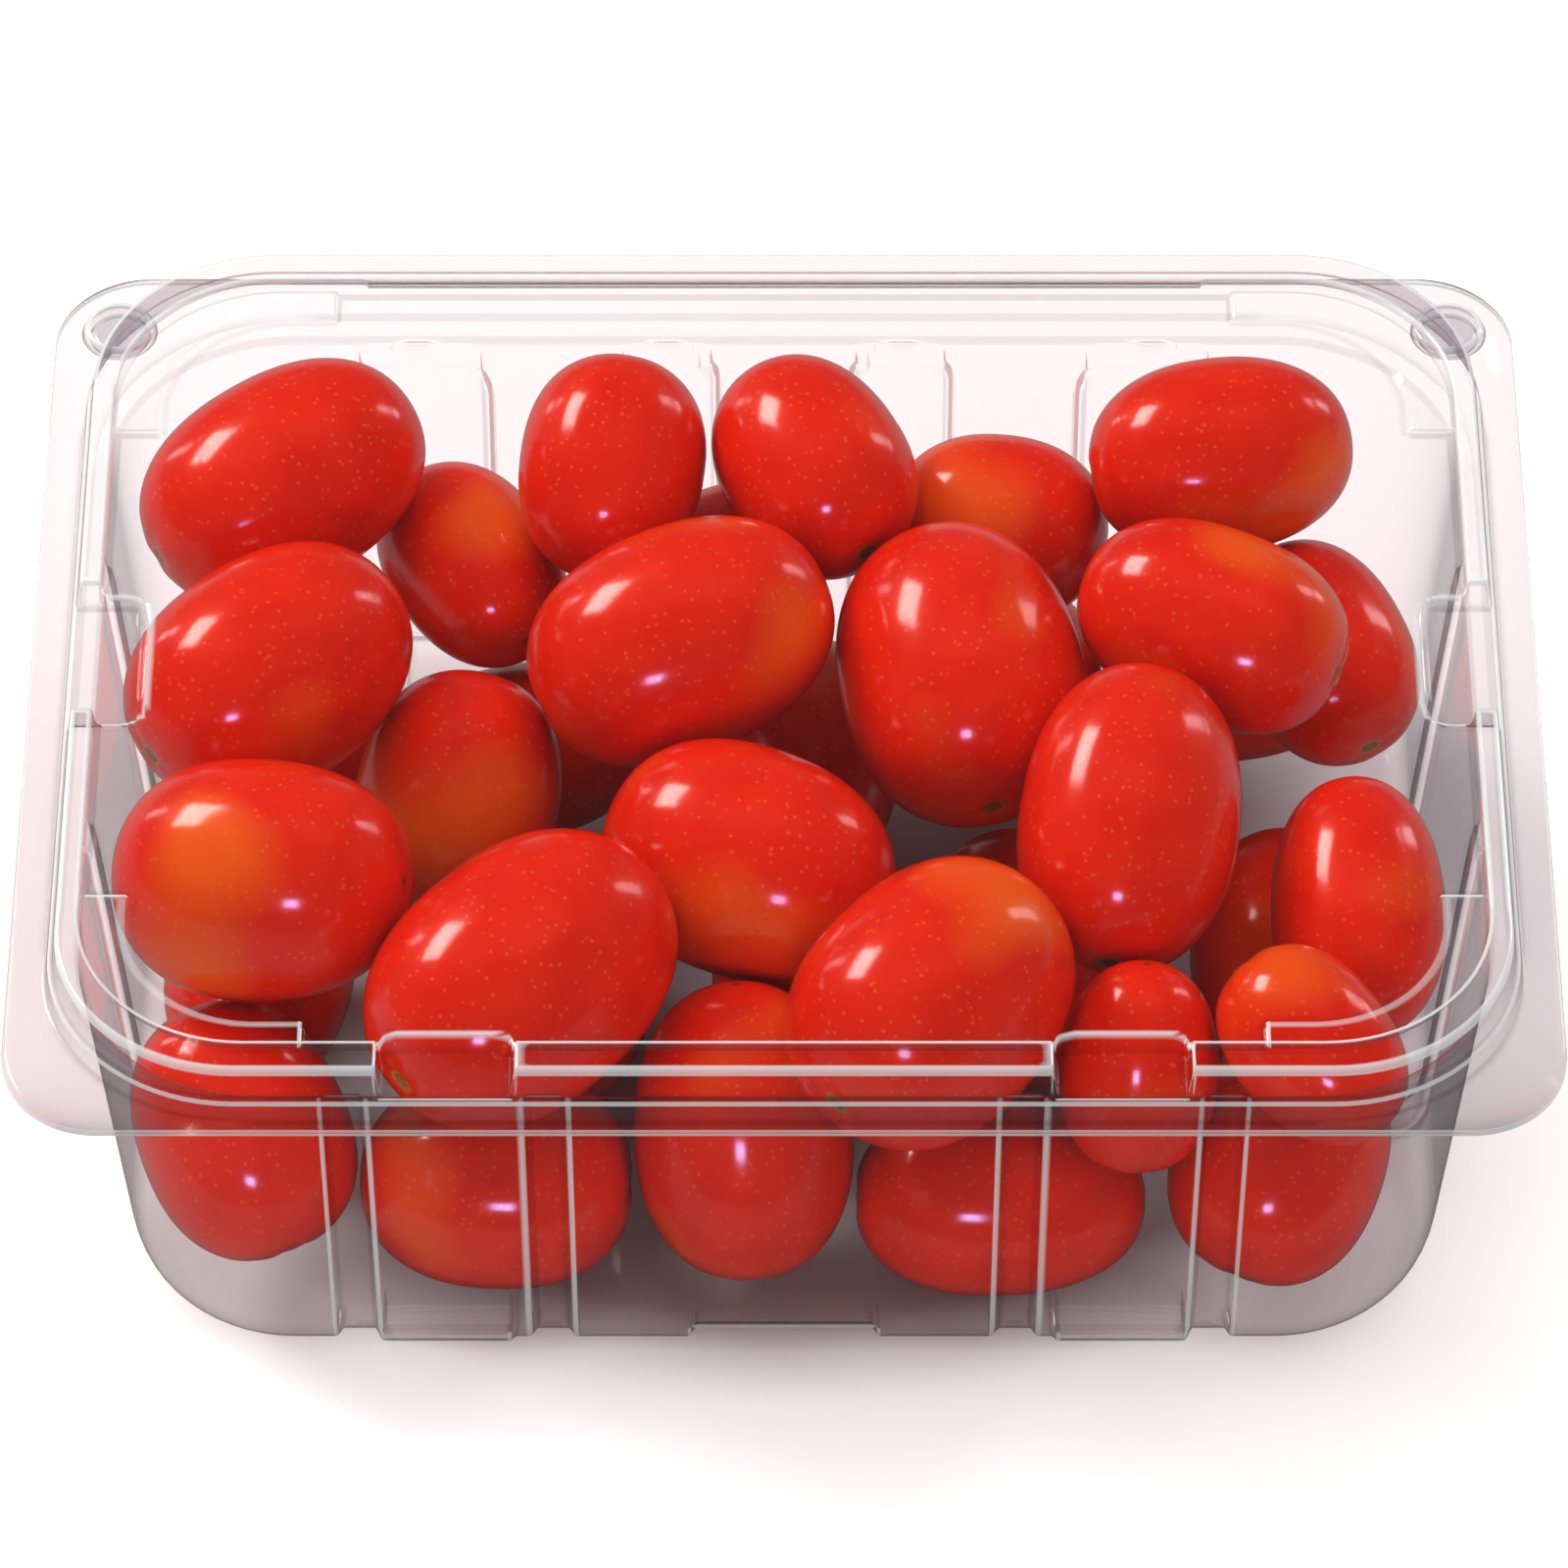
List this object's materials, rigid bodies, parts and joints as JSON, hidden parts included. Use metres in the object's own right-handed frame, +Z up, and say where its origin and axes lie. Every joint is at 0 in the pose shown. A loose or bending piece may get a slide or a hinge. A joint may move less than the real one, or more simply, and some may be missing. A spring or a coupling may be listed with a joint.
{
  "type": "plastic clamshell pack",
  "caption": "Clear hinged clamshell pack with a flanged tub, a beaded snap lid and baby plum tomatoes inside.",
  "frame": {"origin": "middle of the pack's footprint, on the plane that it stands on", "axes": "+X along the long side, -Y towards the front, +Y towards the fold, +Z up"},
  "size_m": [0.165, 0.125, 0.0593],
  "materials": {
    "clear_pet": "clear thermoformed sheet, glossy",
    "tomato_skin": "glossy red skin"
  },
  "bodies": {
    "tub": {"tub": "clear_pet", "tomato_01": "tomato_skin", "tomato_02": "tomato_skin", "tomato_03": "tomato_skin", "tomato_04": "tomato_skin", "tomato_05": "tomato_skin", "tomato_06": "tomato_skin", "tomato_07": "tomato_skin", "tomato_08": "tomato_skin", "tomato_09": "tomato_skin", "tomato_10": "tomato_skin", "tomato_11": "tomato_skin", "tomato_12": "tomato_skin", "tomato_13": "tomato_skin", "tomato_14": "tomato_skin", "tomato_15": "tomato_skin", "tomato_16": "tomato_skin", "tomato_17": "tomato_skin", "tomato_18": "tomato_skin", "tomato_19": "tomato_skin", "tomato_20": "tomato_skin", "tomato_21": "tomato_skin", "tomato_22": "tomato_skin", "tomato_23": "tomato_skin", "tomato_24": "tomato_skin", "tomato_25": "tomato_skin", "tomato_26": "tomato_skin", "tomato_27": "tomato_skin", "tomato_28": "tomato_skin", "tomato_29": "tomato_skin", "tomato_30": "tomato_skin", "tomato_31": "tomato_skin", "tomato_32": "tomato_skin", "tomato_33": "tomato_skin", "tomato_34": "tomato_skin", "tomato_35": "tomato_skin", "tomato_36": "tomato_skin"},
    "lid": {"lid": "clear_pet"}
  },
  "joints": [
    {"name": "lid_hinge", "type": "hinge", "parent": "tub", "child": "lid", "pos_m": [0, 0.0625, 0.052], "axis": [-1, 0, 0], "range_deg": [0, 180]}
  ]
}
